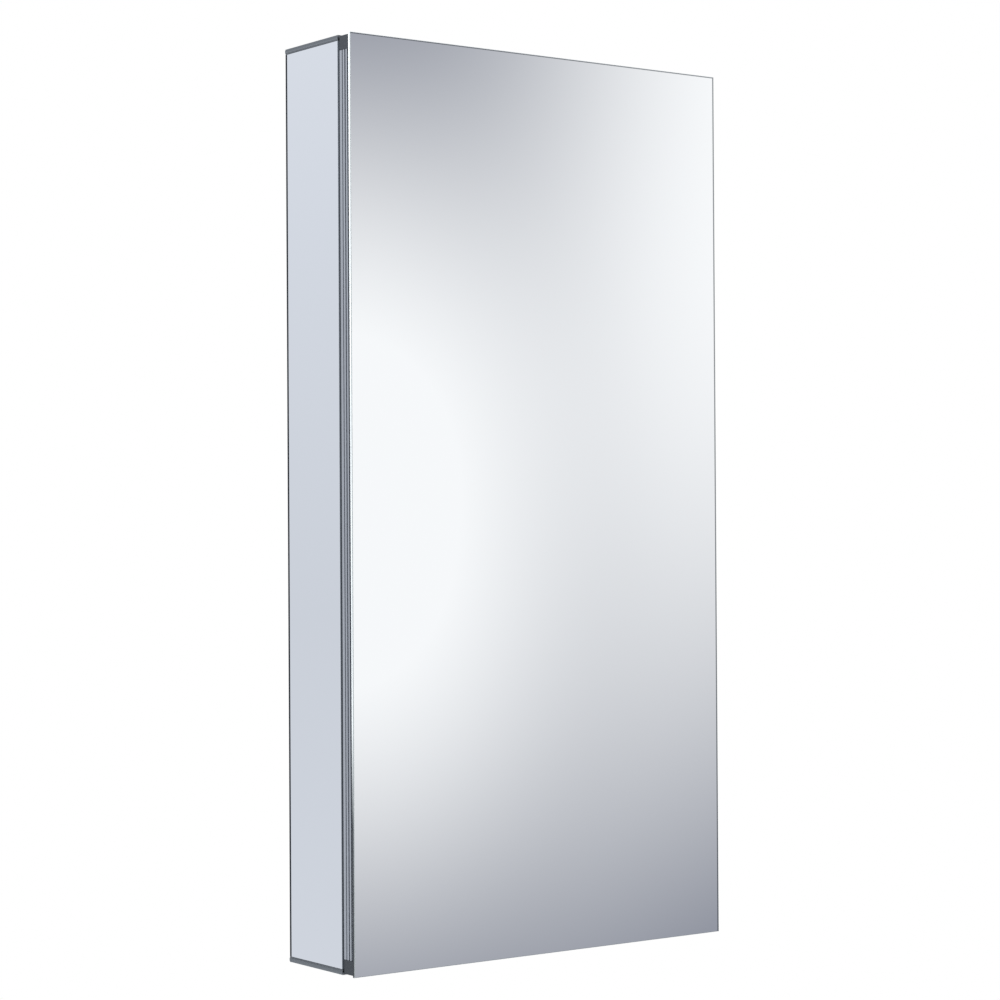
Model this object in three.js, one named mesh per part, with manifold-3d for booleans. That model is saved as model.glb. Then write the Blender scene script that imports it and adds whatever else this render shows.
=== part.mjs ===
// A surface-mounted medicine cabinet: an aluminium case with mirror glass on both sides, glass shelves,
// and one mirrored door in an aluminium frame that swings on two gooseneck hinges at the right.
// Millimetres, +Z up, the front faces -Y. The origin is the middle of the back, on the wall plane.

import * as THREE from "three";
import { mergeVertices } from "three/addons/utils/BufferGeometryUtils.js";
import Module from "manifold-3d";

const wasm = await Module();
wasm.setup();

// ---- driving dimensions ----

const width = 387;
const height = 762;
const caseDepth = 81;
const doorGap = 1.6; // between the case's front and the door's back
const seat = 0.3; // clearance between pieces that touch

// case
const wall = 1.5; // thickness of the walls and of their lips
const frontLip = 7.5; // the three lips reach in this far from the wall's outer face
const panelLip = 7.5;
const rearLip = 13.5;
const wallSpace = 8; // from the wall to the back panel
const backSheet = 1.2;
const backGlass = 3;
const bracket = { leg: 16, thick: 1.5, deep: 40 };
const hangRail = { high: 34, thick: 2, hook: 14, fromTop: 40, fromSide: 30 };
const stiffener = { wide: 40, flange: 12, thick: 1.2 };

// side mirrors and their trims
const sideGlass = 3;
const trimFace = 4.2; // height of the top and bottom trims
const rearTrimFace = 2.6;
const trimStep = { wide: 0.8, deep: 0.4 }; // rebate along each outer edge of a trim

// door
const frontGlass = 3;
const doorRearGlass = 3;
const arris = 0.5; // polished edge of the front glass
const frameThickness = 13.4;
const glassOverhang = { side: 0.5, end: 1.3 }; // how far the front glass stands past the frame
const stileWidth = 24.5;
const railHeight = 11.4;
const frameWall = 2.2;
const stileChamfer = 0.6; // at the rear outer corner, so that it clears the case as it swings
const stileGrooves = [
  { from: 4, wide: 1.2, deep: 1 }, // measured from the frame's back
  { from: 7.6, wide: 1.8, deep: 1.3 },
];
const stileRebate = { wide: 2, deep: 1.4 }; // along the stile's front, behind the glass
const tenonLength = 16; // of the corner blocks, inside the stiles and the rails
const bumper = { radius: 3.4, fromEnd: 46 };

// shelves
const shelfGlass = 5;
const shelfCount = 3;
const shelfInset = 1.5; // from the walls and from the back mirror
const shelfSetback = 5; // from the case's front
const shelfCorner = 5;
const pinHoleRadius = 2.8;
const pinPitch = 32;
const holesPerPin = 3; // heights a shelf can take
const pinFromShelfEdge = 12;
const clip = { long: 9, wide: 9, ledge: 1.6, collarRadius: 4.5, collar: 1 };

// hinges
const axisFromFrameSide = 5; // from the stile's outer face
const axisFromFrameBack = 7;
const hingeFromEnd = 96; // from the case's top or bottom to the hinge's centre
const neckOffset = 9.5; // from the axis to the neck's middle where it enters the case
const neckThickness = 2.4;
const eyeRadius = 2.4;
const pinRadius = 1.2;
const pinLength = 32;
const armHeight = 12;
const armReach = 46; // from the case's front
const armWall = 1.5;
const plate = { thick: 2, high: 38, long: 32, fromFront: 9, bossFromEnd: 3 };
const housing = { high: 44, wall: 1.2, front: 0.7, play: 0.8 };
const armScrew = { headRadius: 3.2, head: 1.2, radius: 1.7, deep: 5 };

// ---- sizes that follow ----

const halfX = width / 2;
const halfZ = height / 2;
const wallOuter = halfX - sideGlass - seat; // |x| of a wall's outer face
const wallInner = wallOuter - wall;
const caseInner = wallInner - seat; // |x| where level panels end
const doorBack = -(caseDepth + doorGap);
const frameFront = doorBack - frameThickness;
const frameX = halfX - glassOverhang.side;
const frameZ = halfZ - glassOverhang.end;
const stileInner = frameX - stileWidth;
const railInner = frameZ - railHeight;
const backSheetY = -(wallSpace + seat);
const backMirrorY = backSheetY - backSheet - seat;
const shelfX = wallInner - shelfInset;
const shelfRear = backMirrorY - backGlass - shelfInset;
const shelfFront = -(caseDepth - shelfSetback);
const shelfHeights = Array.from(
  { length: shelfCount },
  (_, i) => -halfZ + ((i + 1) * height) / (shelfCount + 1),
);
const pinRows = { front: shelfFront + pinFromShelfEdge, rear: shelfRear - pinFromShelfEdge };
const clipAxisDrop = seat + clip.collarRadius; // from the shelf's underside to the clip's peg
const axis = { x: frameX - axisFromFrameSide, y: doorBack - axisFromFrameBack };
const hingeHeight = halfZ - hingeFromEnd;
const plateFace = caseInner - plate.thick;
const armOpen = plateFace - seat; // x of the arm's open side
const armFace = axis.x - neckOffset - neckThickness / 2;
const armFront = -(caseDepth - wall - 2 * seat);
const armRear = -(caseDepth - armReach);
const lips = [
  { y0: -caseDepth, y1: -caseDepth + wall, reach: frontLip },
  { y0: -wallSpace, y1: -wallSpace + wall, reach: panelLip },
  { y0: -wall, y1: 0, reach: rearLip },
];

// ---- materials ----

const finish = (color, roughness, metalness) =>
  new THREE.MeshStandardMaterial({ color, roughness, metalness });
const aluminium = finish("#a9adb4", 0.35, 1);
const darkAluminium = finish("#777c82", 0.4, 1);
const mirror = finish("#dfe3ea", 0.03, 1);
const clearGlass = finish("#d8ebe4", 0.05, 0);
const plastic = finish("#555a60", 0.5, 0);
const nickel = finish("#b9bbbf", 0.28, 1);
const galvanised = finish("#9a9da1", 0.45, 1);
const fibreboard = finish("#c9c6bf", 0.8, 0);
const rubber = finish("#e3e6e8", 0.6, 0);

// ---- shape helpers ----

const bite = 0.5; // how far bodies that are joined into one piece run into each other
const past = 1; // how far a cutting tool runs past what it cuts
const toFront = [Math.PI / 2, 0, 0]; // a section drawn in (x, z), run towards the front
const toRight = [Math.PI / 2, Math.PI / 2, 0]; // a section drawn in (y, z), run along +x

function polygon(points, hole) {
  const vectors = (list) => list.map(([x, y]) => new THREE.Vector2(x, y));
  const shape = new THREE.Shape(vectors(points));
  if (hole) shape.holes.push(new THREE.Path(vectors(hole)));
  return shape;
}

const rectangle = (x0, y0, x1, y1) => [[x0, y0], [x1, y0], [x1, y1], [x0, y1]];

function run(shape, length, curveSegments = 6) {
  return new THREE.ExtrudeGeometry(shape, { depth: length, bevelEnabled: false, curveSegments });
}

// A sheet centred on its middle, from z = 0 to its thickness, with both faces' edges eased.
function sheet(wide, high, thick, ease) {
  const x = wide / 2 - ease;
  const y = high / 2 - ease;
  return new THREE.ExtrudeGeometry(polygon(rectangle(-x, -y, x, y)), {
    depth: thick - 2 * ease,
    bevelThickness: ease,
    bevelSize: ease,
    bevelSegments: 1,
  }).translate(0, 0, ease);
}

function box(x0, y0, z0, x1, y1, z1) {
  const g = new THREE.BoxGeometry(x1 - x0, y1 - y0, z1 - z0);
  return g.translate((x0 + x1) / 2, (y0 + y1) / 2, (z0 + z1) / 2);
}

// A round bar along x from x0 to x1, or along z from z0 to z1.
function barX(radius, x0, x1, y, z, facets = 16) {
  const g = new THREE.CylinderGeometry(radius, radius, x1 - x0, facets).rotateZ(Math.PI / 2);
  return g.translate((x0 + x1) / 2, y, z);
}

function barZ(radius, z0, z1, x, y, facets = 20) {
  const g = new THREE.CylinderGeometry(radius, radius, z1 - z0, facets).rotateX(Math.PI / 2);
  return g.translate(x, y, (z0 + z1) / 2);
}

function solid(geometry) {
  const bare = geometry.clone().deleteAttribute("normal").deleteAttribute("uv");
  const merged = mergeVertices(bare, 1e-4);
  const vertProperties = new Float32Array(merged.attributes.position.array);
  const triVerts = new Uint32Array(merged.index.array);
  return new wasm.Manifold(new wasm.Mesh({ numProp: 3, vertProperties, triVerts }));
}

function geometryOf(manifold) {
  const mesh = manifold.getMesh();
  const g = new THREE.BufferGeometry();
  g.setAttribute("position", new THREE.BufferAttribute(new Float32Array(mesh.vertProperties), 3));
  g.setIndex(new THREE.BufferAttribute(new Uint32Array(mesh.triVerts), 1));
  const flat = g.toNonIndexed();
  flat.computeVertexNormals();
  return flat;
}

const joined = (bodies) => bodies.map(solid).reduce((a, b) => a.add(b));
const cut = (body, tools) => tools.map(solid).reduce((a, b) => a.subtract(b), body);

function piece(name, geometry, material, position = [0, 0, 0], rotation = [0, 0, 0]) {
  const mesh = new THREE.Mesh(geometry, material.clone());
  mesh.name = name;
  mesh.position.set(...position);
  mesh.rotation.set(...rotation);
  return mesh;
}

// An x span given for the right-hand side, turned round for the left when side is -1.
const spanX = (side, near, far) => (side > 0 ? [near, far] : [-far, -near]);
const sides = { left: -1, right: 1 };
const ends = { top: 1, bottom: -1 };

// ---- case ----

function pinHoles(side) {
  const [x0, x1] = spanX(side, wallInner - wall, wallOuter + wall);
  const holes = [];
  for (const shelfZ of shelfHeights) {
    for (let i = 0; i < holesPerPin; i += 1) {
      const z = shelfZ - clipAxisDrop + (i - (holesPerPin - 1) / 2) * pinPitch;
      for (const y of Object.values(pinRows)) holes.push(barX(pinHoleRadius, x0, x1, y, z));
    }
  }
  return holes;
}

// An upright wall with its front, panel and rear lips.
function caseWall(name, side) {
  const [w0, w1] = spanX(side, wallInner, wallOuter);
  const bodies = [box(w0, -caseDepth, -halfZ, w1, 0, halfZ)];
  for (const { y0, y1, reach } of lips) {
    const [x0, x1] = spanX(side, wallOuter - reach, wallOuter);
    bodies.push(box(x0, y0, -halfZ, x1, y1, halfZ));
  }
  return piece(name, geometryOf(cut(joined(bodies), pinHoles(side))), aluminium);
}

// A level panel between the walls, with the same lips. Its corners clear the walls' lips.
function casePanel(name, end) {
  const level = (near, far) => (end > 0 ? [near, far] : [-far, -near]);
  const [p0, p1] = level(halfZ - wall, halfZ);
  const bodies = [box(-caseInner, -caseDepth, p0, caseInner, 0, p1)];
  const notches = [];
  for (const { y0, y1, reach } of lips) {
    const [z0, z1] = level(halfZ - reach, halfZ);
    const x = wallOuter - reach - seat;
    bodies.push(box(-x, y0, z0, x, y1, z1));
    for (const side of Object.values(sides)) {
      const [x0, x1] = spanX(side, x, halfX);
      notches.push(box(x0, y0 - seat, -halfZ - past, x1, y1 + seat, halfZ + past));
    }
  }
  return piece(name, geometryOf(cut(joined(bodies), notches)), aluminium);
}

function cornerBracket(name, side, end) {
  const { leg, thick, deep } = bracket;
  const x = side * caseInner;
  const z = end * (halfZ - wall - seat);
  const outline = [[0, 0], [leg, 0], [leg, thick], [thick, thick], [thick, leg], [0, leg]];
  const section = polygon(outline.map(([a, b]) => [x - side * a, z - end * b]));
  const rear = -(caseDepth - deep) / 2;
  return piece(name, run(section, deep), galvanised, [0, rear, 0], toFront);
}

function backSheets() {
  const wide = 2 * caseInner;
  const high = 2 * (halfZ - wall - seat);
  const panel = sheet(wide, high, backSheet, 0.1);
  const glass = sheet(wide, high, backGlass, 0.3);
  return [
    piece("back_panel", panel, galvanised, [0, backSheetY, 0], toFront),
    piece("back_mirror", glass, mirror, [0, backMirrorY, 0], toFront),
  ];
}

// A hat-section upright behind the back panel. Its crown meets the wall.
function backStiffener() {
  const { wide, flange, thick } = stiffener;
  const w = wide / 2;
  const outline = [
    [-w - flange, -wallSpace], [-w + thick, -wallSpace], [-w + thick, -thick], [w - thick, -thick],
    [w - thick, -wallSpace], [w + flange, -wallSpace], [w + flange, -wallSpace + thick],
    [w, -wallSpace + thick], [w, 0], [-w, 0], [-w, -wallSpace + thick],
    [-w - flange, -wallSpace + thick],
  ];
  const top = halfZ - hangRail.fromTop - hangRail.high - seat;
  const bottom = -(halfZ - rearLip - seat);
  return piece("back_stiffener", run(polygon(outline), top - bottom), aluminium, [0, 0, bottom]);
}

// A hooked strip across the back that hangs on a strip screwed to the wall.
function hangingRail() {
  const { high, thick, hook, fromTop, fromSide } = hangRail;
  const top = halfZ - fromTop;
  const rear = -wall - seat;
  const front = -wallSpace;
  const outline = [
    [front, top - high], [front, top], [rear, top], [rear, top - hook], [rear - thick, top - hook],
    [rear - thick, top - thick], [front + thick, top - thick], [front + thick, top - high],
  ];
  const x = halfX - fromSide;
  return piece("hang_rail", run(polygon(outline), 2 * x), aluminium, [-x, 0, 0], toRight);
}

// ---- side mirrors ----

function sideMirror(name, side) {
  const rear = rearTrimFace + seat;
  const deep = caseDepth - rear;
  const glass = sheet(deep, 2 * (halfZ - trimFace - seat), sideGlass, 0.3);
  const x = side > 0 ? halfX - sideGlass : -halfX;
  return piece(name, glass, mirror, [x, -rear - deep / 2, 0], toRight);
}

// The section of a trim bar, with a shallow rebate along both outer edges.
function trimSection(face) {
  const low = sideGlass - trimStep.deep;
  const e = Math.min(trimStep.wide, face / 4);
  return [[0, 0], [low, 0], [low, e], [sideGlass, e], [sideGlass, face - e], [low, face - e],
    [low, face], [0, face]];
}

function endTrim(name, side, end) {
  const section = trimSection(trimFace).map(([a, b]) => [
    side * (halfX - sideGlass + a),
    end * (halfZ - b),
  ]);
  return piece(name, run(polygon(section), caseDepth), darkAluminium, [0, 0, 0], toFront);
}

function rearTrim(name, side) {
  const section = trimSection(rearTrimFace).map(([a, b]) => [side * (halfX - sideGlass + a), -b]);
  const z = halfZ - trimFace - seat;
  return piece(name, run(polygon(section), 2 * z), darkAluminium, [0, 0, -z]);
}

// ---- shelves ----

function shelf(name, z) {
  const outline = new THREE.Shape();
  const x = shelfX;
  const r = shelfCorner;
  outline.moveTo(-x, shelfRear);
  outline.lineTo(-x, shelfFront + r);
  outline.absarc(-x + r, shelfFront + r, r, Math.PI, 1.5 * Math.PI, false);
  outline.lineTo(x - r, shelfFront);
  outline.absarc(x - r, shelfFront + r, r, 1.5 * Math.PI, 2 * Math.PI, false);
  outline.lineTo(x, shelfRear);
  return piece(name, run(outline, shelfGlass, 5), clearGlass, [0, 0, z]);
}

// A peg through the wall, a collar against it and a flat ledge under the glass.
function shelfClip(name, side, y, shelfZ) {
  const top = shelfZ - seat;
  const z = shelfZ - clipAxisDrop;
  const [p0, p1] = spanX(side, caseInner - clip.collar, wallOuter - seat);
  const [c0, c1] = spanX(side, caseInner - clip.collar, caseInner);
  const [l0, l1] = spanX(side, caseInner - clip.long, caseInner);
  const w = clip.wide / 2;
  const body = joined([
    barX(pinHoleRadius - seat, p0, p1, y, z, 16),
    barX(clip.collarRadius, c0, c1, y, z, 24),
    box(l0, y - w, top - clip.ledge, l1, y + w, top),
  ]);
  return piece(name, geometryOf(body), nickel);
}

// ---- hinges: plate, arm and screw stay with the case; housing and pin ride on the door ----

function hingePlate(name, z) {
  const { thick, high, long, fromFront, bossFromEnd } = plate;
  const y0 = -(caseDepth - fromFront);
  const bossX = armFace + armWall + seat;
  const bossZ = armHeight / 2 - armWall - seat;
  const body = joined([
    box(plateFace, y0, z - high / 2, plateFace + thick, y0 + long, z + high / 2),
    box(bossX, y0 + bossFromEnd, z - bossZ, plateFace + bite, y0 + long - bossFromEnd, z + bossZ),
  ]);
  const screwY = y0 + long / 2;
  const bore = barX(armScrew.radius + seat, bossX - past, bossX + armScrew.deep + seat, screwY, z);
  return piece(name, geometryOf(cut(body, [bore])), nickel);
}

// A channel open towards the wall, whose face runs on as a gooseneck to the eye on the hinge axis.
function hingeArm(name, z) {
  const h = armHeight / 2;
  const t = neckThickness / 2;
  const neckX = axis.x - neckOffset;
  const bodies = [
    box(armFace, armFront, z - h, armOpen, armRear, z + h),
    box(neckX - t, axis.y - t, z - h, neckX + t, armFront + bite, z + h),
    box(neckX - t, axis.y - t, z - h, axis.x, axis.y + t, z + h),
    barZ(eyeRadius, z - h, z + h, axis.x, axis.y),
  ];
  const y = -(caseDepth - plate.fromFront) + plate.long / 2;
  const tools = [
    box(armFace + armWall, armFront + armWall, z - h + armWall, armOpen + past, armRear - armWall,
      z + h - armWall),
    barZ(pinRadius + seat, z - h - past, z + h + past, axis.x, axis.y, 16),
    barX(armScrew.radius + seat, armFace - past, armFace + armWall + past, y, z),
  ];
  return piece(name, geometryOf(cut(joined(bodies), tools)), nickel);
}

function hingeScrew(name, z) {
  const y = -(caseDepth - plate.fromFront) + plate.long / 2;
  const head = armFace - seat - armScrew.head;
  const tip = armFace + armWall + seat + armScrew.deep - seat;
  const body = joined([
    barX(armScrew.headRadius, head, head + armScrew.head, y, z, 24),
    barX(armScrew.radius, head + armScrew.head / 2, tip, y, z),
  ]);
  return piece(name, geometryOf(body), nickel);
}

// The housing's outside, also used with a clearance to cut its pocket in the stile.
function housingBlock(z, gap) {
  const { high, wall: side, front, play } = housing;
  const inner = armFace - play - side - gap;
  const y = axis.y - eyeRadius - seat - front - gap;
  const h = high / 2 + gap;
  const rear = gap ? doorBack + past : doorBack;
  return box(inner, y, z - h, frameX - frameWall - seat + gap, rear, z + h);
}

function hingeHousing(name, z) {
  const open = box(
    armFace - housing.play, axis.y - eyeRadius - seat, z - armHeight / 2 - 2 * seat,
    frameX, doorBack + past, z + armHeight / 2 + 2 * seat,
  );
  const h = pinLength / 2 + seat;
  const bore = barZ(pinRadius + seat, z - h, z + h, axis.x, axis.y, 16);
  return piece(name, geometryOf(cut(solid(housingBlock(z, 0)), [open, bore])), nickel);
}

function hingePin(name, z) {
  const h = pinLength / 2;
  return piece(name, barZ(pinRadius, z - h, z + h, axis.x, axis.y, 16), galvanised);
}

// ---- door ----

// The stile's section for the right-hand side: a hollow bar with two grooves down its outer face.
function stileSection(side) {
  const outline = [
    [stileInner, doorBack], [frameX - stileChamfer, doorBack], [frameX, doorBack - stileChamfer],
  ];
  for (const { from, wide, deep } of stileGrooves) {
    const y0 = doorBack - from;
    outline.push([frameX, y0], [frameX - deep, y0], [frameX - deep, y0 - wide], [frameX, y0 - wide]);
  }
  const { wide, deep } = stileRebate;
  outline.push([frameX, frameFront + wide], [frameX - deep, frameFront + wide]);
  outline.push([frameX - deep, frameFront], [stileInner, frameFront]);
  const hollow = rectangle(
    stileInner + frameWall, frameFront + frameWall, frameX - frameWall, doorBack - frameWall,
  );
  const turned = (points) => points.map(([x, y]) => [side * x, y]);
  return polygon(turned(outline), turned(hollow));
}

function stile(name, side, pockets) {
  const z = railInner - seat;
  const body = solid(run(stileSection(side), 2 * z).translate(0, 0, -z));
  return piece(name, geometryOf(cut(body, pockets)), aluminium);
}

function doorRail(name, end) {
  const w = frameWall;
  const [z0, z1] = end > 0 ? [railInner, frameZ] : [-frameZ, -railInner];
  const section = polygon(
    rectangle(frameFront, z0, doorBack, z1),
    rectangle(frameFront + w, z0 + w, doorBack - w, z1 - w),
  );
  const x = stileInner - seat;
  return piece(name, run(section, 2 * x), aluminium, [-x, 0, 0], toRight);
}

// A moulded corner with one tenon into the stile and one into the rail.
function cornerBlock(name, side, end) {
  const w = frameWall + seat;
  const y0 = frameFront + w;
  const y1 = doorBack - w;
  const placed = (xa, ya, za, xb, yb, zb) => {
    const [x0, x1] = spanX(side, xa, xb);
    const [z0, z1] = end > 0 ? [za, zb] : [-zb, -za];
    return box(x0, ya, z0, x1, yb, z1);
  };
  const chamfer = stileChamfer;
  const corner = placed(stileInner, frameFront, railInner, frameX, doorBack, frameZ);
  const edge = run(
    polygon([
      [side * (frameX - chamfer), doorBack], [side * (frameX + past), doorBack - chamfer - past],
      [side * (frameX + past), doorBack + past], [side * (frameX - chamfer), doorBack + past],
    ]),
    height,
  ).translate(0, 0, -halfZ);
  const body = joined([
    corner,
    placed(stileInner + w, y0, railInner - tenonLength, frameX - w, y1, railInner + bite),
    placed(stileInner - tenonLength, y0, railInner + w, stileInner + bite, y1, frameZ - w),
  ]);
  return piece(name, geometryOf(cut(body, [edge])), plastic);
}

function doorBumper(name, end) {
  const { radius, fromEnd } = bumper;
  const lipMiddle = wallOuter - frontLip / 2;
  const disc = new THREE.CylinderGeometry(radius, radius, doorGap - 2 * seat, 24);
  const at = [-lipMiddle, doorBack + doorGap / 2, end * (halfZ - fromEnd)];
  return piece(name, disc, rubber, at);
}

function doorSheets() {
  const insideX = 2 * (stileInner - seat);
  const insideZ = 2 * (railInner - seat);
  const boardY = doorBack - doorRearGlass - seat;
  const board = sheet(insideX, insideZ, boardY - frameFront, 0.1);
  return [
    piece("door_front_mirror", sheet(width, height, frontGlass, arris), mirror,
      [0, frameFront - seat, 0], toFront),
    piece("door_core_board", board, fibreboard, [0, boardY, 0], toFront),
    piece("door_inner_mirror", sheet(insideX, insideZ, doorRearGlass, 0.3), mirror,
      [0, doorBack, 0], toFront),
  ];
}

// ---- assembly ----

const group = new THREE.Group();
const caseGroup = new THREE.Group();
const doorGroup = new THREE.Group();
group.name = "medicine_cabinet";
caseGroup.name = "case";
doorGroup.name = "door";
group.add(caseGroup, doorGroup);

caseGroup.add(...backSheets(), backStiffener(), hangingRail());
for (const [sideName, side] of Object.entries(sides)) {
  caseGroup.add(
    caseWall(`case_${sideName}_wall`, side),
    sideMirror(`side_mirror_${sideName}`, side),
    rearTrim(`rear_trim_${sideName}`, side),
  );
}
for (const [endName, end] of Object.entries(ends)) {
  caseGroup.add(casePanel(`case_${endName}_panel`, end));
  for (const [sideName, side] of Object.entries(sides)) {
    caseGroup.add(
      cornerBracket(`bracket_${endName}_${sideName}`, side, end),
      endTrim(`${endName}_trim_${sideName}`, side, end),
    );
  }
}
shelfHeights.forEach((z, i) => {
  caseGroup.add(shelf(`shelf_${i + 1}`, z));
  for (const [sideName, side] of Object.entries(sides)) {
    for (const [row, y] of Object.entries(pinRows)) {
      caseGroup.add(shelfClip(`shelf_${i + 1}_clip_${sideName}_${row}`, side, y, z));
    }
  }
});

const pockets = [];
for (const [endName, end] of Object.entries(ends)) {
  const z = end * hingeHeight;
  caseGroup.add(
    hingePlate(`hinge_plate_${endName}`, z),
    hingeArm(`hinge_arm_${endName}`, z),
    hingeScrew(`hinge_screw_${endName}`, z),
  );
  doorGroup.add(hingeHousing(`hinge_housing_${endName}`, z), hingePin(`hinge_pin_${endName}`, z));
  pockets.push(housingBlock(z, seat));
}

doorGroup.add(...doorSheets());
for (const [sideName, side] of Object.entries(sides)) {
  doorGroup.add(stile(`door_stile_${sideName}`, side, side > 0 ? pockets : []));
}
for (const [endName, end] of Object.entries(ends)) {
  doorGroup.add(doorRail(`door_rail_${endName}`, end), doorBumper(`door_bumper_${endName}`, end));
  for (const [sideName, side] of Object.entries(sides)) {
    doorGroup.add(cornerBlock(`door_corner_${endName}_${sideName}`, side, end));
  }
}

export default group;
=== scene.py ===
import math

import bmesh
import bpy
from mathutils import Matrix, Vector


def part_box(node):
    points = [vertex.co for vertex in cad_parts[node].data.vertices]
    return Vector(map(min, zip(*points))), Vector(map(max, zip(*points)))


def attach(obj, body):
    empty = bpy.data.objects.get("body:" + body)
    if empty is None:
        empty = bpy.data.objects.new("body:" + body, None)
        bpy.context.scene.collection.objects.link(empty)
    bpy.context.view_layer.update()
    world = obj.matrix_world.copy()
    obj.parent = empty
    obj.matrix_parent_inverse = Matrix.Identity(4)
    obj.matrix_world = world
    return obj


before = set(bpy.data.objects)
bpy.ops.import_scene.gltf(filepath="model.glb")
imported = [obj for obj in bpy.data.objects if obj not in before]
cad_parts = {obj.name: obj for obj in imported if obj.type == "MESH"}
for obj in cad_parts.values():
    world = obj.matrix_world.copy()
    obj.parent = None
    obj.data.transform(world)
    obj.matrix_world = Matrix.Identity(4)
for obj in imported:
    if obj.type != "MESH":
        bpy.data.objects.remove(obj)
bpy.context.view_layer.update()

scene = bpy.context.scene
millimetre = 0.001
print("frame loaded:", len(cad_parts), "CAD pieces")


# camera: the view from the left of the front, a little below the middle, with a slight roll
cameraView = {
    "azimuth": -36.27,
    "elevation": -0.446,
    "roll": -0.323,
    "place": (-1.3408, -1.8639, -0.0137),
    "lens": 94.01,
    "sensor": 36,
    "clip": (0.05, 60),
}


def makeCamera(values):
    az, el, roll = (math.radians(values[k]) for k in ("azimuth", "elevation", "roll"))
    back = Vector((math.sin(az) * math.cos(el), -math.cos(az) * math.cos(el), math.sin(el)))
    right = (-back).cross(Vector((0, 0, 1))).normalized()
    up = right.cross(-back)
    turnedRight = right * math.cos(roll) + up * math.sin(roll)
    turnedUp = up * math.cos(roll) - right * math.sin(roll)
    data = bpy.data.cameras.new("studioCamera")
    data.lens = values["lens"]
    data.sensor_width = values["sensor"]
    data.clip_start, data.clip_end = values["clip"]
    camera = bpy.data.objects.new("studioCamera", data)
    scene.collection.objects.link(camera)
    turn = Matrix((turnedRight, turnedUp, back)).transposed().to_4x4()
    camera.matrix_world = Matrix.Translation(Vector(values["place"])) @ turn
    scene.camera = camera


makeCamera(cameraView)
scene.view_settings.view_transform = "Standard"
scene.view_settings.look = "None"
print("camera made")


# materials: an sRGB hex colour turned to linear light, opaque
def linear(hexColour):
    channels = [int(hexColour[i : i + 2], 16) / 255 for i in (1, 3, 5)]
    return tuple(
        c / 12.92 if c <= 0.04045 else ((c + 0.055) / 1.055) ** 2.4 for c in channels
    ) + (1.0,)


# settings are a node's own properties or its sockets' values, and links are sockets of others
def addNode(tree, kind, settings=None, links=None):
    node = tree.nodes.new(kind)
    for key, value in (settings or {}).items():
        if isinstance(key, str) and hasattr(node, key):
            setattr(node, key, value)
        else:
            node.inputs[key].default_value = value
    for key, socket in (links or {}).items():
        tree.links.new(socket, node.inputs[key])
    return node


# how many cells of a pattern lie in a metre, from the size of one in millimetres
def perMetre(cell):
    return 1000 / cell


def newMaterial(name):
    material = bpy.data.materials.new(name)
    material.use_nodes = True
    tree = material.node_tree
    tree.nodes.clear()
    return material, tree


def finishMaterial(tree, shader):
    addNode(tree, "ShaderNodeOutputMaterial", links={"Surface": shader.outputs[0]})


def rampStops(node, stops):
    ramp = node.color_ramp
    while len(ramp.elements) < len(stops):
        ramp.elements.new(0.5)
    for element, (position, colour) in zip(ramp.elements, stops):
        element.position = position
        element.color = colour


# anodised aluminium extrusion: die lines run along its length, over a satin etched skin
def anodisedAluminium(name, look):
    material, tree = newMaterial(name)
    place = addNode(tree, "ShaderNodeTexCoord").outputs["Object"]
    # the die lines are noise drawn out along the extrusion
    wide, long = perMetre(look["lineSpacing"]), perMetre(look["lineLength"])
    scale = {"X": (long, wide, wide), "Y": (wide, long, wide), "Z": (wide, wide, long)}[look["along"]]
    stretched = addNode(tree, "ShaderNodeMapping", {"Scale": scale}, {"Vector": place})
    dieLines = addNode(
        tree, "ShaderNodeTexNoise", {"Scale": 1.0, "Detail": 4.0, "Roughness": 0.6},
        {"Vector": stretched.outputs[0]},
    )
    cloud = addNode(
        tree, "ShaderNodeTexNoise", {"Scale": perMetre(look["cloud"]), "Detail": 3.0},
        {"Vector": place},
    )
    tone = addNode(tree, "ShaderNodeValToRGB", links={"Fac": dieLines.outputs["Fac"]})
    rampStops(tone, [(0.3, linear(look["dark"])), (0.7, linear(look["light"]))])
    gloss = addNode(
        tree, "ShaderNodeMapRange",
        {"From Min": 0.3, "From Max": 0.7, "To Min": look["roughness"][0],
         "To Max": look["roughness"][1]},
        {"Value": cloud.outputs["Fac"]},
    )
    relief = addNode(
        tree, "ShaderNodeBump", {"Strength": 0.25, "Distance": look["relief"] * millimetre},
        {"Height": dieLines.outputs["Fac"]},
    )
    shader = addNode(
        tree, "ShaderNodeBsdfPrincipled", {"Metallic": 1.0},
        {"Base Color": tone.outputs[0], "Roughness": gloss.outputs[0],
         "Normal": relief.outputs[0]},
    )
    finishMaterial(tree, shader)
    return material


# 1 where the socket's value is over the limit, and 0 elsewhere
def isOver(tree, socket, limit):
    node = addNode(
        tree, "ShaderNodeMath", {"operation": "GREATER_THAN", 1: limit}, {0: socket}
    )
    return node.outputs[0]


# the mix node's sockets are found by number, because its colour and number inputs share names
mixSocket = {"share": 0, "first": 6, "second": 7, "result": 2}


# first and second are each a colour or a socket
def mixTones(tree, share, first, second):
    node = addNode(tree, "ShaderNodeMix", {"data_type": "RGBA"}, {mixSocket["share"]: share})
    for place, tone in ((mixSocket["first"], first), (mixSocket["second"], second)):
        if isinstance(tone, tuple):
            node.inputs[place].default_value = tone
        else:
            tree.links.new(tone, node.inputs[place])
    return node.outputs[mixSocket["result"]]


# silvered float glass: a mirror on its front, grey backing paint behind, and ground edges that
# carry light along the pane, so they look pale or dark rather than see-through; on the door pane
# the upright edges also carry a painted highlight above and painted shade at the foot.
# A normal's share along an axis tells the faces of a pane apart.
paneFaces = {"silvered": 0.9, "sloping": 0.3}


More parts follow.
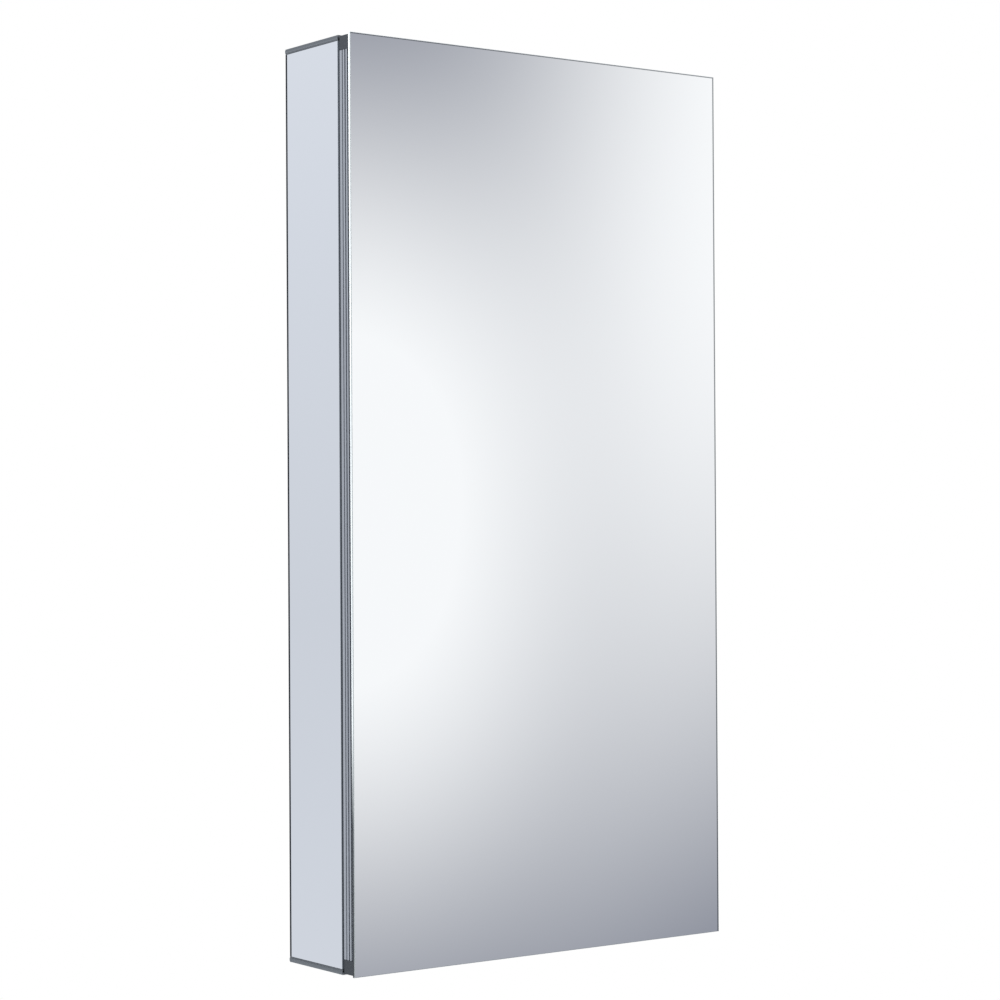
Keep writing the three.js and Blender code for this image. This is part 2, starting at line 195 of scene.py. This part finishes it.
def silveredGlass(name, look):
    material, tree = newMaterial(name)
    coords = addNode(tree, "ShaderNodeTexCoord")
    place = coords.outputs["Object"]
    axes = addNode(tree, "ShaderNodeSeparateXYZ", links={"Vector": coords.outputs["Normal"]})
    spot = addNode(tree, "ShaderNodeSeparateXYZ", links={"Vector": place})
    towards = addNode(
        tree, "ShaderNodeMath", {"operation": "MULTIPLY", 1: look["faceSign"]},
        {0: axes.outputs[look["faceAxis"]]},
    )
    slope = addNode(tree, "ShaderNodeMath", {"operation": "ABSOLUTE"}, {0: towards.outputs[0]})
    across = addNode(
        tree, "ShaderNodeMath", {"operation": "ABSOLUTE"}, {0: axes.outputs[look["sideAxis"]]}
    )
    # float glass draws out in faint waves
    wave = addNode(
        tree, "ShaderNodeTexNoise", {"Scale": perMetre(look["waveLength"]), "Detail": 1.0},
        {"Vector": place},
    )
    ripple = addNode(
        tree, "ShaderNodeBump", {"Strength": look["wave"], "Distance": 0.1 * millimetre},
        {"Height": wave.outputs["Fac"]},
    )
    dust = addNode(
        tree, "ShaderNodeTexNoise",
        {"Scale": perMetre(look["dust"]), "Detail": 6.0, "Roughness": 0.7}, {"Vector": place},
    )
    haze = addNode(
        tree, "ShaderNodeMapRange",
        {"From Min": 0.45, "From Max": 0.8, "To Min": 0.004, "To Max": 0.02},
        {"Value": dust.outputs["Fac"]},
    )
    silver = addNode(
        tree, "ShaderNodeBsdfPrincipled", {"Metallic": 1.0, "Base Color": linear(look["silver"])},
        {"Roughness": haze.outputs[0], "Normal": ripple.outputs[0]},
    )
    # where a painted shade band is given, the silver darkens to it near the pane's top and its far
    # side, standing in for the pane's edge showing dark through the glass
    if "paintedShadeRim" in look:
        inPaintedShadeTop = isOver(tree, spot.outputs["Z"], look["paintedShadeTopAt"])
        inPaintedShadeSide = isOver(tree, spot.outputs[look["sideAxis"]], look["paintedShadeSideAt"])
        paintedShadeMask = addNode(tree, "ShaderNodeMath", {"operation": "MAXIMUM"}, {0: inPaintedShadeTop, 1: inPaintedShadeSide})
        silverWithPaintedShade = mixTones(tree, paintedShadeMask.outputs[0], linear(look["silver"]), linear(look["paintedShadeRim"]))
        tree.links.new(silverWithPaintedShade, silver.inputs["Base Color"])
    # edges: on the door the upright ones carry a painted highlight above and painted shade at the
    # foot
    uprightTone = linear(look["edge"])
    if "edgeFootPaintedShade" in look:
        rise = addNode(
            tree, "ShaderNodeMapRange",
            {"From Min": look["paintedShadeFrom"], "From Max": look["paintedShadeTo"]},
            {"Value": spot.outputs["Z"]},
        )
        paintedLightRamp = addNode(tree, "ShaderNodeValToRGB", links={"Fac": rise.outputs[0]})
        rampStops(paintedLightRamp, [(0.0, linear(look["edgeFootPaintedShade"])), (1.0, uprightTone)])
        uprightTone = paintedLightRamp.outputs[0]
    sideTone = mixTones(
        tree, isOver(tree, slope.outputs[0], paneFaces["sloping"]), uprightTone,
        linear(look["arris"]),
    )
    edgeTone = mixTones(
        tree, isOver(tree, across.outputs[0], paneFaces["sloping"]), linear(look["backing"]),
        sideTone,
    )
    # grinding leaves them mottled
    grind = addNode(
        tree, "ShaderNodeTexNoise", {"Scale": perMetre(look["grit"]), "Detail": 3.0},
        {"Vector": place},
    )
    speckle = addNode(
        tree, "ShaderNodeMapRange", {"To Min": 0.85, "To Max": 1.1},
        {"Value": grind.outputs["Fac"]},
    )
    mottled = addNode(
        tree, "ShaderNodeHueSaturation", links={"Color": edgeTone, "Value": speckle.outputs[0]}
    )
    edge = addNode(
        tree, "ShaderNodeBsdfPrincipled", {"Roughness": 0.22, "IOR": 1.52},
        {"Base Color": mottled.outputs[0]},
    )
    front = isOver(tree, towards.outputs[0], paneFaces["silvered"])
    shader = addNode(
        tree, "ShaderNodeMixShader",
        links={0: front, 1: edge.outputs[0], 2: silver.outputs[0]},
    )
    finishMaterial(tree, shader)
    return material


# clear float glass with polished edges: nearly colourless through its face, green along its edge
def shelfGlass(name, look):
    material, tree = newMaterial(name)
    coords = addNode(tree, "ShaderNodeTexCoord")
    axes = addNode(tree, "ShaderNodeSeparateXYZ", links={"Vector": coords.outputs["Normal"]})
    level = addNode(tree, "ShaderNodeMath", {"operation": "ABSOLUTE"}, {0: axes.outputs["Z"]})
    tint = addNode(tree, "ShaderNodeValToRGB", links={"Fac": level.outputs[0]})
    rampStops(tint, [(0.2, linear(look["edge"])), (0.9, linear(look["face"]))])
    smear = addNode(
        tree, "ShaderNodeTexNoise", {"Scale": perMetre(look["smear"]), "Detail": 5.0},
        {"Vector": coords.outputs["Object"]},
    )
    gloss = addNode(
        tree, "ShaderNodeMapRange",
        {"From Min": 0.4, "From Max": 0.8, "To Min": 0.01, "To Max": 0.05},
        {"Value": smear.outputs["Fac"]},
    )
    shader = addNode(
        tree, "ShaderNodeBsdfPrincipled", {"IOR": 1.52, "Transmission Weight": 0.94},
        {"Base Color": tint.outputs[0], "Roughness": gloss.outputs[0]},
    )
    finishMaterial(tree, shader)
    return material


# hard bright plating or bare zinc: mottled reflection with fine scratches
def platedSteel(name, look):
    material, tree = newMaterial(name)
    place = addNode(tree, "ShaderNodeTexCoord").outputs["Object"]
    cells = addNode(
        tree, "ShaderNodeTexVoronoi", {"Scale": perMetre(look["grain"])}, {"Vector": place}
    )
    fine = addNode(
        tree, "ShaderNodeTexNoise", {"Scale": perMetre(look["grit"]), "Detail": 4.0},
        {"Vector": place},
    )
    tone = addNode(tree, "ShaderNodeValToRGB", links={"Fac": cells.outputs["Color"]})
    rampStops(tone, [(0.1, linear(look["dark"])), (0.9, linear(look["light"]))])
    gloss = addNode(
        tree, "ShaderNodeMapRange",
        {"From Min": 0.35, "From Max": 0.7, "To Min": look["roughness"][0],
         "To Max": look["roughness"][1]},
        {"Value": fine.outputs["Fac"]},
    )
    relief = addNode(
        tree, "ShaderNodeBump", {"Strength": 0.15, "Distance": 0.02 * millimetre},
        {"Height": fine.outputs["Fac"]},
    )
    shader = addNode(
        tree, "ShaderNodeBsdfPrincipled", {"Metallic": 1.0},
        {"Base Color": tone.outputs[0], "Roughness": gloss.outputs[0],
         "Normal": relief.outputs[0]},
    )
    finishMaterial(tree, shader)
    return material


# moulded or pressed stuff with no metal in it: plastic, rubber, board
def mouldedStuff(name, look):
    material, tree = newMaterial(name)
    place = addNode(tree, "ShaderNodeTexCoord").outputs["Object"]
    grain = addNode(
        tree, "ShaderNodeTexNoise",
        {"Scale": perMetre(look["grain"]), "Detail": 6.0, "Roughness": 0.65}, {"Vector": place},
    )
    tone = addNode(tree, "ShaderNodeValToRGB", links={"Fac": grain.outputs["Fac"]})
    rampStops(tone, [(0.3, linear(look["dark"])), (0.75, linear(look["light"]))])
    gloss = addNode(
        tree, "ShaderNodeMapRange",
        {"From Min": 0.3, "From Max": 0.7, "To Min": look["roughness"][0],
         "To Max": look["roughness"][1]},
        {"Value": grain.outputs["Fac"]},
    )
    relief = addNode(
        tree, "ShaderNodeBump",
        {"Strength": look["bump"], "Distance": 0.08 * millimetre},
        {"Height": grain.outputs["Fac"]},
    )
    shader = addNode(
        tree, "ShaderNodeBsdfPrincipled",
        {"IOR": look["ior"], "Transmission Weight": look.get("clear", 0.0)},
        {"Base Color": tone.outputs[0], "Roughness": gloss.outputs[0],
         "Normal": relief.outputs[0]},
    )
    finishMaterial(tree, shader)
    return material


# sizes in these looks are in millimetres: spacing of lines, length of waves, size of grains
extrusionLook = {"lineSpacing": 1.0, "lineLength": 500, "cloud": 110, "relief": 0.02}
caseAluminiumLook = {
    **extrusionLook, "dark": "#bcbfc3", "light": "#d5d7da", "roughness": (0.28, 0.36),
    "lineSpacing": 1.2, "along": "Z",
}
trimLook = {
    **extrusionLook, "dark": "#777b7e", "light": "#93979a", "roughness": (0.3, 0.4),
    "along": "Y",
}
rearTrimLook = {**trimLook, "dark": "#3d4246", "light": "#4d5256", "along": "Z"}
doorAluminiumLook = {
    **extrusionLook, "dark": "#acafb4", "light": "#c9ccd0", "roughness": (0.24, 0.32),
    "along": "Z",
}
# most panes are silvered to their edges, and the backing paint runs over the edge
plainMirrorLook = {
    "silver": "#f2f4f6", "edge": "#8b9091", "arris": "#9aa0a0", "backing": "#64696c",
    "wave": 0.03, "waveLength": 140, "dust": 17, "grit": 1.1,
    "faceAxis": "Y", "faceSign": -1, "sideAxis": "X",
}
sideMirrorLook = {
    **plainMirrorLook, "edge": "#4c5157", "arris": "#5d6268", "backing": "#4c5157",
    "faceAxis": "X", "sideAxis": "Y",
}
# the front pane: a painted shade band, for its edge showing dark through the glass, lies along its
# right side and top, and painted shade darkens the foot of its upright edges, under a painted
# highlight, between two heights. These heights are in metres.
paintedShadeBand = {"side": 1.9, "top": 1.2}
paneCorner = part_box("door_front_mirror")[1]
doorMirrorLook = {
    # its upright edges take a painted highlight in the edge tone, fading to painted shade at the foot
    **plainMirrorLook, "paintedShadeRim": "#8c9092", "edge": "#cbcfcf", "edgeFootPaintedShade": "#1f2326",
    "arris": "#8a8f8f", "backing": "#7e8386", "paintedShadeFrom": -0.26, "paintedShadeTo": -0.18,
    "paintedShadeSideAt": paneCorner[0] - paintedShadeBand["side"] * millimetre,
    "paintedShadeTopAt": paneCorner[2] - paintedShadeBand["top"] * millimetre,
}
levelAluminiumLook = {**caseAluminiumLook, "along": "X"}
materials = {
    "caseUpright": anodisedAluminium("satinAnodisedCaseExtrusion", caseAluminiumLook),
    "caseLevel": anodisedAluminium("satinAnodisedCasePanel", levelAluminiumLook),
    "trimLevel": anodisedAluminium("darkAnodisedTrimLevel", trimLook),
    "trimUpright": anodisedAluminium("darkAnodisedTrimUpright", rearTrimLook),
    "stile": anodisedAluminium("satinAnodisedStile", doorAluminiumLook),
    "doorRail": anodisedAluminium("satinAnodisedDoorRail", {**doorAluminiumLook, "along": "X"}),
    "doorMirror": silveredGlass("silveredFloatGlassDoor", doorMirrorLook),
    "backMirror": silveredGlass("silveredFloatGlassBack", plainMirrorLook),
    "innerMirror": silveredGlass("silveredFloatGlassInner", {**plainMirrorLook, "faceSign": 1}),
    "leftMirror": silveredGlass("silveredFloatGlassLeft", sideMirrorLook),
    "rightMirror": silveredGlass("silveredFloatGlassRight", {**sideMirrorLook, "faceSign": 1}),
    "shelf": shelfGlass(
        "clearFloatGlassShelf", {"edge": "#7fb5a2", "face": "#f1f8f5", "smear": 25}
    ),
    "nickel": platedSteel(
        "nickelPlatedPressedSteel",
        {"dark": "#b3b2af", "light": "#c9c8c4", "grain": 3.0, "grit": 0.8,
         "roughness": (0.16, 0.26)},
    ),
    "zinc": platedSteel(
        "galvanisedSheetSteel",
        {"dark": "#a9adb0", "light": "#bcbfc2", "grain": 4.0, "grit": 1.2,
         "roughness": (0.34, 0.46)},
    ),
    "pin": platedSteel(
        "groundSteelPin",
        {"dark": "#8a8d90", "light": "#a3a6a8", "grain": 1.0, "grit": 0.3,
         "roughness": (0.2, 0.3)},
    ),
    "corner": mouldedStuff(
        "mouldedAbsCorner",
        {"dark": "#202327", "light": "#2b2f34", "grain": 1.2, "roughness": (0.42, 0.55),
         "bump": 0.2, "ior": 1.53},
    ),
    "board": mouldedStuff(
        "pressedFibreboard",
        {"dark": "#a2937c", "light": "#cdbfa6", "grain": 2.0, "roughness": (0.75, 0.9),
         "bump": 0.5, "ior": 1.45},
    ),
    "bumper": mouldedStuff(
        "clearSiliconeBumper",
        {"dark": "#dfe4e6", "light": "#f1f4f5", "grain": 4.0, "roughness": (0.3, 0.42),
         "bump": 0.05, "ior": 1.41, "clear": 0.5},
    ),
}
print("materials made:", len(materials))


# which finish each CAD piece takes, by the start of its name; the first match counts
finishes = [
    ("case_left_wall", "caseUpright"), ("case_right_wall", "caseUpright"),
    ("back_stiffener", "caseUpright"), ("case_", "caseLevel"), ("hang_rail", "caseLevel"),
    ("bracket_", "zinc"), ("back_panel", "zinc"), ("back_mirror", "backMirror"),
    ("side_mirror_left", "leftMirror"), ("side_mirror_right", "rightMirror"),
    ("rear_trim", "trimUpright"), ("top_trim", "trimLevel"), ("bottom_trim", "trimLevel"),
    ("shelf_1_clip", "nickel"), ("shelf_2_clip", "nickel"), ("shelf_3_clip", "nickel"),
    ("shelf_", "shelf"), ("hinge_pin", "pin"), ("hinge_", "nickel"),
    ("door_front_mirror", "doorMirror"), ("door_inner_mirror", "innerMirror"),
    ("door_core_board", "board"), ("door_stile", "stile"), ("door_rail", "doorRail"),
    ("door_corner", "corner"), ("door_bumper", "bumper"),
]
for nodeName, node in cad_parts.items():
    finish = next(key for start, key in finishes if nodeName.startswith(start))
    node.data.materials.clear()
    node.data.materials.append(materials[finish])
print("finishes given to the CAD pieces")


# modelled pieces: heads of screws and rivets, each a low cylinder with a domed edge and a recess
def pickFaces(piece, test):
    mesh = bmesh.from_edit_mesh(piece.data)
    for face in mesh.faces:
        face.select = test(face)
    mesh.select_flush_mode()
    bmesh.update_edit_mesh(piece.data)


def isTop(face):
    return face.normal.z > 0.9


# the many-sided face that is left inside the domed edge
def isTopDisc(face):
    return face.normal.z > 0.99 and len(face.verts) > 8


# the head stands on centre, with its recess towards direction
def makeHead(head, centre, direction):
    radius, height = head["radius"] * millimetre, head["height"] * millimetre
    bpy.ops.object.select_all(action="DESELECT")
    bpy.ops.mesh.primitive_cylinder_add(
        vertices=head["sides"], radius=radius, depth=height, location=(0, 0, 0)
    )
    piece = bpy.context.active_object
    bpy.ops.object.mode_set(mode="EDIT")
    pickFaces(piece, isTop)
    bpy.ops.mesh.bevel(offset=head["edge"] * millimetre, segments=3, affect="EDGES")
    pickFaces(piece, isTopDisc)
    bpy.ops.mesh.inset(thickness=radius - (head["edge"] + head["recess"]) * millimetre)
    bpy.ops.mesh.extrude_region_move(
        TRANSFORM_OT_translate={"value": (0, 0, -head["recessDepth"] * millimetre)}
    )
    bpy.ops.object.mode_set(mode="OBJECT")
    piece.rotation_euler = Vector((0, 0, 1)).rotation_difference(Vector(direction)).to_euler()
    piece.location = Vector(centre) + Vector(direction) * (height / 2)
    return piece


def finishPiece(piece, name, material, body):
    bpy.ops.object.transform_apply(location=True, rotation=True, scale=True)
    bpy.ops.object.shade_smooth_by_angle(angle=math.radians(35))
    piece.name = piece.data.name = name
    piece.data.materials.append(material)
    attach(piece, body)


# two screws hold each hinge plate to the case wall
plateScrew = {
    "sides": 24, "radius": 2.8, "height": 1.5, "edge": 0.5, "recess": 1.1, "recessDepth": 0.75,
    "apart": 26, "plateSkin": 2.0,
}


def makePlateScrew(end, number, side):
    low, high = (Vector(corner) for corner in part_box(f"hinge_plate_{end}"))
    middle = (low + high) / 2
    x = high.x - plateScrew["plateSkin"] * millimetre
    z = middle.z + side * plateScrew["apart"] / 2 * millimetre
    piece = makeHead(plateScrew, (x, middle.y, z), (-1, 0, 0))
    finishPiece(piece, f"plateScrew_{end}_{number}", materials["nickel"], "case")


# two screws hold each hinge housing in the stile, at the same height as the plate
housingScrew = {
    "sides": 24, "radius": 2.6, "height": 0.8, "edge": 0.48, "recess": 1.1, "recessDepth": 0.4,
    "apart": 29, "inset": 6.5,
}


def makeHousingScrew(end, number, side):
    plateLow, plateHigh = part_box(f"hinge_plate_{end}")
    low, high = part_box(f"hinge_housing_{end}")
    x = low[0] + housingScrew["inset"] * millimetre
    z = (plateLow[2] + plateHigh[2]) / 2 + side * housingScrew["apart"] / 2 * millimetre
    piece = makeHead(housingScrew, (x, high[1], z), (0, 1, 0))
    finishPiece(piece, f"housingScrew_{end}_{number}", materials["nickel"], "door")


for end in ("top", "bottom"):
    for number, side in ((1, -1), (2, 1)):
        makePlateScrew(end, number, side)
        makeHousingScrew(end, number, side)
print("hinge screws made")


# pop rivets hold the hanging rail and the stiffener to the back panel
rivet = {
    "sides": 20, "radius": 2.8, "height": 1.0, "edge": 0.6, "recess": 1.1, "recessDepth": 0.3,
}


def makeRivet(name, centre):
    finishPiece(makeHead(rivet, centre, (0, 1, 0)), name, materials["zinc"], "case")


railRivets = {"across": (-130, -45, 45, 130), "drop": 27, "railSkin": 2.0}
low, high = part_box("hang_rail")
for i, x in enumerate(railRivets["across"]):
    place = (x * millimetre, low[1] + railRivets["railSkin"] * millimetre,
             high[2] - railRivets["drop"] * millimetre)
    makeRivet(f"railRivet_{i + 1}", place)

stiffenerRivets = {"out": 26, "rows": (-300, -150, 0, 150, 270), "flange": 1.2}
low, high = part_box("back_stiffener")
for i, z in enumerate(stiffenerRivets["rows"]):
    for side, sign in (("left", -1), ("right", 1)):
        place = (sign * stiffenerRivets["out"] * millimetre,
                 low[1] + stiffenerRivets["flange"] * millimetre, z * millimetre)
        makeRivet(f"stiffenerRivet_{side}_{i + 1}", place)
print("rivets made")


# studio: a round pale floor well below the cabinet, a soft world, and a card for the mirrors
floorLook = {"drop": 1.25, "radius": 3.4, "colour": "#cdd0d3", "roughness": 0.8}
bpy.ops.object.select_all(action="DESELECT")
bpy.ops.mesh.primitive_circle_add(
    vertices=64, radius=floorLook["radius"], fill_type="NGON",
    location=(0, 0, -floorLook["drop"]),
)
studioFloor = bpy.context.active_object
studioFloor.name = "studioFloor"
floorMaterial, tree = newMaterial("paintedStudioFloor")
floorShader = addNode(
    tree, "ShaderNodeBsdfPrincipled",
    {"Base Color": linear(floorLook["colour"]), "Roughness": floorLook["roughness"]},
)
finishMaterial(tree, floorShader)
studioFloor.data.materials.append(floorMaterial)

# the world is white behind the object; what lights it and shows in metal is a soft grey sky.
# Its tones change where a direction's height is within band of the level, and the places of the
# tones run from 0 at the foot of that band to 1 at its top.
worldLook = {
    "below": "#fbfcfd", "foot": "#dadee6", "level": "#d5d9e1", "above": "#e2e6ee",
    "footAt": 0.35, "levelAt": 0.47, "aboveAt": 0.66, "band": 0.6, "strength": 1.0,
}
world = bpy.data.worlds.new("studioWorld")
scene.world = world
world.use_nodes = True
tree = world.node_tree
tree.nodes.clear()
direction = addNode(tree, "ShaderNodeTexCoord").outputs["Generated"]
height = addNode(tree, "ShaderNodeSeparateXYZ", links={"Vector": direction}).outputs["Z"]
rise = addNode(
    tree, "ShaderNodeMapRange",
    {"From Min": -worldLook["band"], "From Max": worldLook["band"]}, {"Value": height},
)
sky = addNode(tree, "ShaderNodeValToRGB", links={"Fac": rise.outputs[0]})
rampStops(
    sky,
    [(0.0, linear(worldLook["below"])), (worldLook["footAt"], linear(worldLook["foot"])),
     (worldLook["levelAt"], linear(worldLook["level"])),
     (worldLook["aboveAt"], linear(worldLook["above"]))],
)
skyLight = addNode(
    tree, "ShaderNodeBackground", {"Strength": worldLook["strength"]}, {"Color": sky.outputs[0]}
)
paper = addNode(tree, "ShaderNodeBackground", {"Color": (1, 1, 1, 1), "Strength": 1.0})
ray = addNode(tree, "ShaderNodeLightPath")
both = addNode(
    tree, "ShaderNodeMixShader",
    links={0: ray.outputs["Is Camera Ray"], 1: skyLight.outputs[0], 2: paper.outputs[0]},
)
addNode(tree, "ShaderNodeOutputWorld", links={"Surface": both.outputs[0]})

# a feathered reflector to the right of the camera: it is what the door's mirror shows
reflector = {
    "centre": (1.07, -1.5, 0.0), "size": (2.4, 3.0), "base": "#5e6479", "tint": "#ffffff",
    "strength": 1.04,
    # each pool of light: place across and up, half width and half height in metres, brightness
    "pools": [
        {"at": (-0.14, -0.01), "reach": (1.7, 1.24), "gain": 0.7},
        {"at": (-0.41, 0.01), "reach": (0.63, 0.93), "gain": 0.43},
        {"at": (0.54, 1.68), "reach": (1.04, 2.56), "gain": 1.3},
    ],
}


def makeReflector(values):
    bpy.ops.object.select_all(action="DESELECT")
    bpy.ops.mesh.primitive_plane_add(
        size=1, location=values["centre"], rotation=(-math.pi / 2, 0, 0)
    )
    card = bpy.context.active_object
    card.scale = (*values["size"], 1)
    card.name = "featheredReflector"
    bpy.ops.object.transform_apply(location=False, rotation=True, scale=True)
    material, tree = newMaterial("featheredReflectorCloth")
    place = addNode(tree, "ShaderNodeTexCoord").outputs["Object"]
    total = None
    for pool in values["pools"]:
        (x, z), (wide, high) = pool["at"], pool["reach"]
        local = addNode(
            tree, "ShaderNodeMapping",
            {"vector_type": "TEXTURE", "Location": (x, 0, z), "Scale": (wide, 1, high)},
            {"Vector": place},
        )
        ball = addNode(
            tree, "ShaderNodeTexGradient", {"gradient_type": "SPHERICAL"},
            {"Vector": local.outputs[0]},
        )
        eased = addNode(
            tree, "ShaderNodeMapRange",
            {"interpolation_type": "SMOOTHERSTEP", "To Max": pool["gain"]},
            {"Value": ball.outputs["Fac"]},
        )
        total = eased if total is None else addNode(
            tree, "ShaderNodeMath", {"operation": "ADD"},
            {0: total.outputs[0], 1: eased.outputs[0]},
        )
    colour = mixTones(tree, total.outputs[0], linear(values["base"]), linear(values["tint"]))
    glow = addNode(
        tree, "ShaderNodeEmission", {"Strength": values["strength"]}, {"Color": colour}
    )
    finishMaterial(tree, glow)
    card.data.materials.append(material)
    card.visible_camera = False
    card.visible_shadow = False


makeReflector(reflector)

studioLights = [
    {"name": "keySoftbox", "place": (-1.6, -0.7, 1.4), "size": 0.9, "power": 70},
    {"name": "fillSoftbox", "place": (2.2, -2.2, 0.6), "size": 1.8, "power": 10},
    {"name": "rearSoftbox", "place": (0.6, 2.4, 1.4), "size": 1.6, "power": 20},
]
for values in studioLights:
    data = bpy.data.lights.new(values["name"], "AREA")
    data.energy, data.size = values["power"], values["size"]
    lamp = bpy.data.objects.new(values["name"], data)
    scene.collection.objects.link(lamp)
    lamp.location = values["place"]
    lamp.rotation_mode = "QUATERNION"
    lamp.rotation_quaternion = (-Vector(values["place"])).to_track_quat("-Z", "Y")
    lamp.visible_glossy = False
    lamp.visible_camera = False
print("studio made")
